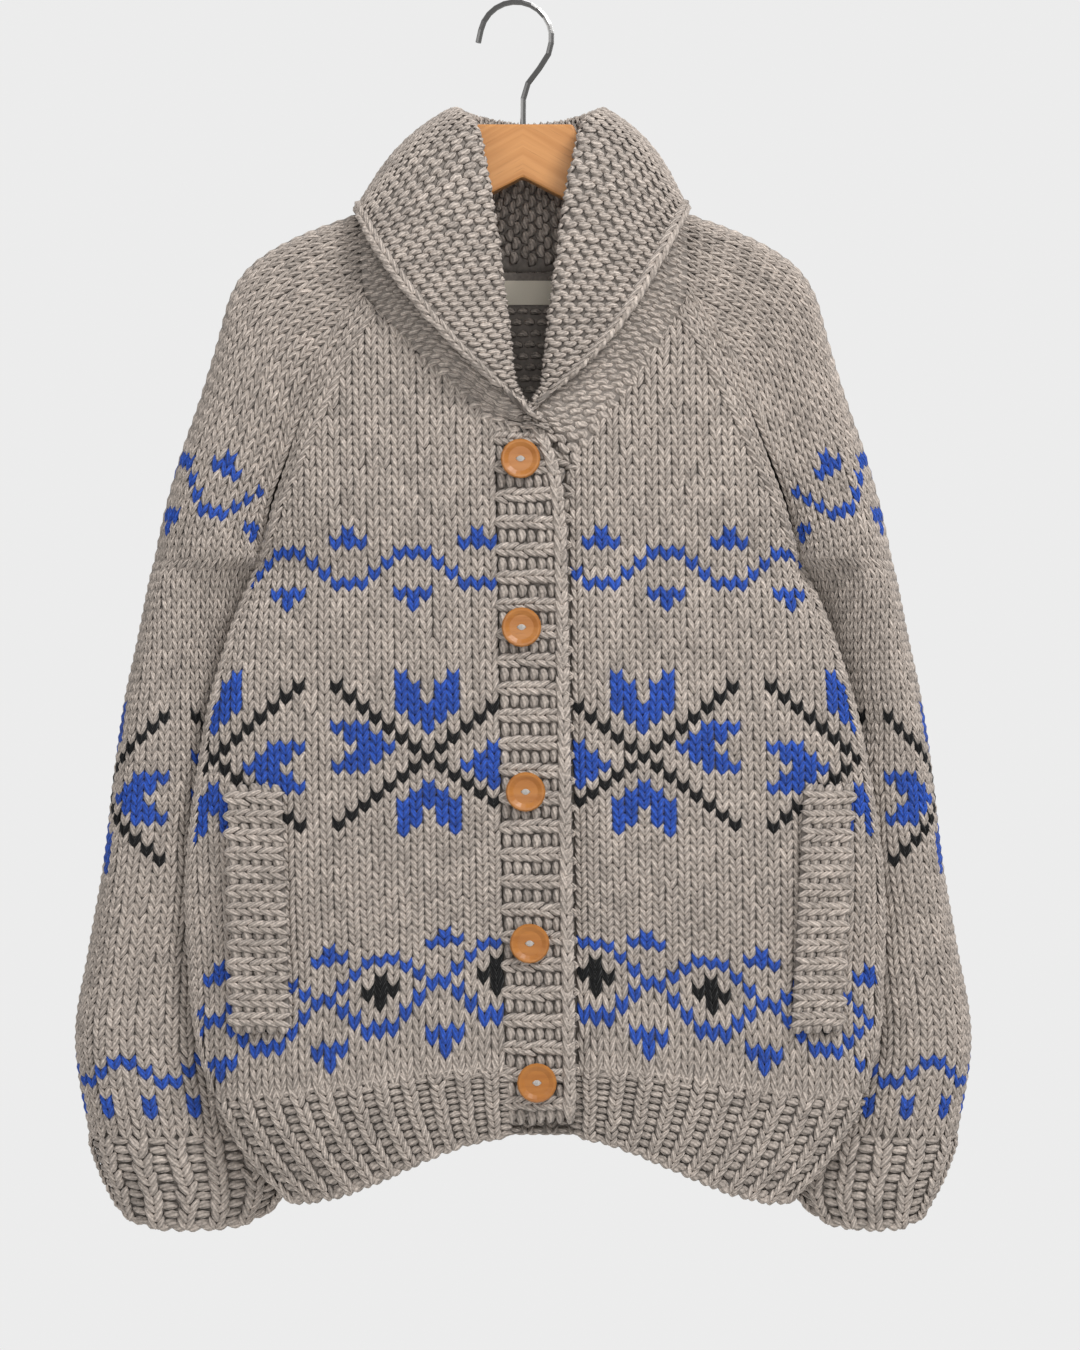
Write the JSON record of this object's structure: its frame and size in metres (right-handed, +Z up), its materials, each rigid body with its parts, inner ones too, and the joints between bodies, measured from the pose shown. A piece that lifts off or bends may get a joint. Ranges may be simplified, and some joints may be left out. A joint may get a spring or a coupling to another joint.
{
  "type": "cardigan on hanger",
  "caption": "Hand knit shawl collar cardigan with raglan sleeves, ribbed hem and cuffs and a buttoned front, hanging on a flat wooden hanger with a wire hook.",
  "frame": {"origin": "where the hanger's hook rests on its rail, at the inside top of the hook's arc", "axes": "+Z up, -Y out of the cardigan's front, +X towards the wearer's left"},
  "size_m": [0.6281, 0.1444, 0.8625],
  "materials": {
    "wool": "matte",
    "button_wood": "satin",
    "woven_tape": "matte",
    "beech": "satin",
    "steel_wire": "polished"
  },
  "bodies": {
    "root": {"left_front": "wool", "right_front": "wool", "back": "wool", "left_sleeve": "wool", "right_sleeve": "wool", "left_cuff": "wool", "right_cuff": "wool", "left_hem_rib": "wool", "right_hem_rib": "wool", "back_hem_rib": "wool", "buttonhole_band": "wool", "button_band": "wool", "collar": "wool", "left_pocket_welt": "wool", "right_pocket_welt": "wool", "button_1": "button_wood", "button_2": "button_wood", "button_3": "button_wood", "button_4": "button_wood", "button_5": "button_wood", "neck_label": "woven_tape", "hanger": "beech", "hanger_hook": "steel_wire"}
  },
  "joints": []
}
